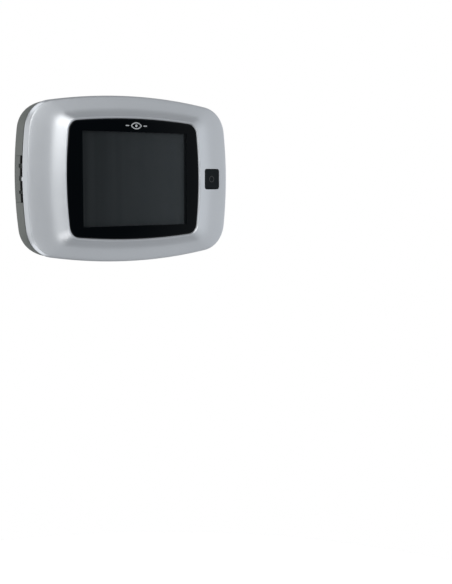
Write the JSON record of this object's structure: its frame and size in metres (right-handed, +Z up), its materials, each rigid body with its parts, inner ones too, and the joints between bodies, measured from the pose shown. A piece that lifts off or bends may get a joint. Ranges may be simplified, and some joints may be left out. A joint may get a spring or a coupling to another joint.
{
  "type": "door viewer",
  "caption": "Digital door viewer: a wide framed display with a side push button, hung on a door bracket, and a round camera clamped through the door.",
  "frame": {"origin": "where the camera barrel's axis meets the door's inner face, on the back of the bracket", "axes": "+Y through the door towards the outside, +Z up, +X to the right for someone facing the display"},
  "size_m": [0.1138, 0.0666, 0.0764],
  "materials": {
    "silver_lacquer": "silver metallic lacquer on moulded plastic",
    "display_glass": "black-masked polished glass",
    "lcd": "dark liquid-crystal panel",
    "black_plastic": "fine matt moulding",
    "grey_plastic": "fine-grained grey moulding",
    "circuit_board": "green solder mask",
    "steel": "zinc-plated steel",
    "gold": "gold-plated contacts",
    "amber_film": "polyimide film",
    "satin_chrome": "satin chrome",
    "rubber": "black rubber",
    "lens_glass": "coated optical glass",
    "battery_wrap": "dark shrink wrap"
  },
  "bodies": {
    "door_side": {"door_bracket": "steel", "camera_ribbon": "amber_film"},
    "display_unit": {"front_bezel": "silver_lacquer", "display_glass": "display_glass", "lcd_panel": "lcd", "lcd_holder": "black_plastic", "lcd_flex": "amber_film", "circuit_board": "circuit_board", "shield_can": "steel", "buzzer": "black_plastic", "camera_connector": "black_plastic", "switch_body": "black_plastic", "rear_housing": "grey_plastic", "usb_socket": "steel", "usb_tongue": "black_plastic", "card_slot": "steel", "battery_pack": "battery_wrap", "contact_block": "black_plastic", "battery_contact_1": "gold", "battery_contact_2": "gold", "battery_contact_3": "gold", "housing_screw_1": "steel", "housing_screw_2": "steel", "housing_screw_3": "steel", "housing_screw_4": "steel"},
    "button": {"button_cap": "black_plastic", "switch_plunger": "steel"},
    "port_cover": {"side_port_cover": "grey_plastic"},
    "battery_cover": {"battery_lid": "grey_plastic"},
    "clamp": {"clamp_sleeve": "steel"},
    "outdoor_camera": {"door_barrel": "satin_chrome", "outdoor_gasket": "rubber", "camera_head": "satin_chrome", "lens_window": "lens_glass", "lens_trim_ring": "black_plastic", "camera_module": "circuit_board", "camera_lens": "lens_glass"}
  },
  "joints": [
    {"name": "unit_lift", "type": "slide", "parent": "door_side", "child": "display_unit", "axis": [0, 0, 1], "range_m": [0, 0.006], "deforming": ["camera_ribbon"]},
    {"name": "button_press", "type": "slide", "parent": "display_unit", "child": "button", "axis": [0, 1, 0], "range_m": [0, 0.0005], "stiffness_N_per_m": 400, "springref_m": -0.0005},
    {"name": "port_cover_turn", "type": "hinge", "parent": "display_unit", "child": "port_cover", "pos_m": [-0.0559, -0.00525, 0], "axis": [0, 0, -1], "range_deg": [0, 100]},
    {"name": "battery_cover_turn", "type": "hinge", "parent": "display_unit", "child": "battery_cover", "pos_m": [0.0325, -0.0028, -0.0214], "axis": [-1, 0, 0], "range_deg": [0, 80]},
    {"name": "clamp_turn", "type": "hinge", "parent": "door_side", "child": "clamp", "pos_m": [0, 0, 0], "axis": [0, 1, 0], "range_deg": [0, 4320]},
    {"name": "outdoor_travel", "type": "slide", "parent": "door_side", "child": "outdoor_camera", "axis": [0, 1, 0], "range_m": [0, 0.018], "deforming": ["camera_ribbon"]}
  ],
  "couplings": [
    {"joint": "clamp_turn", "follows": "outdoor_travel", "rad_per_m": 4188.8}
  ]
}
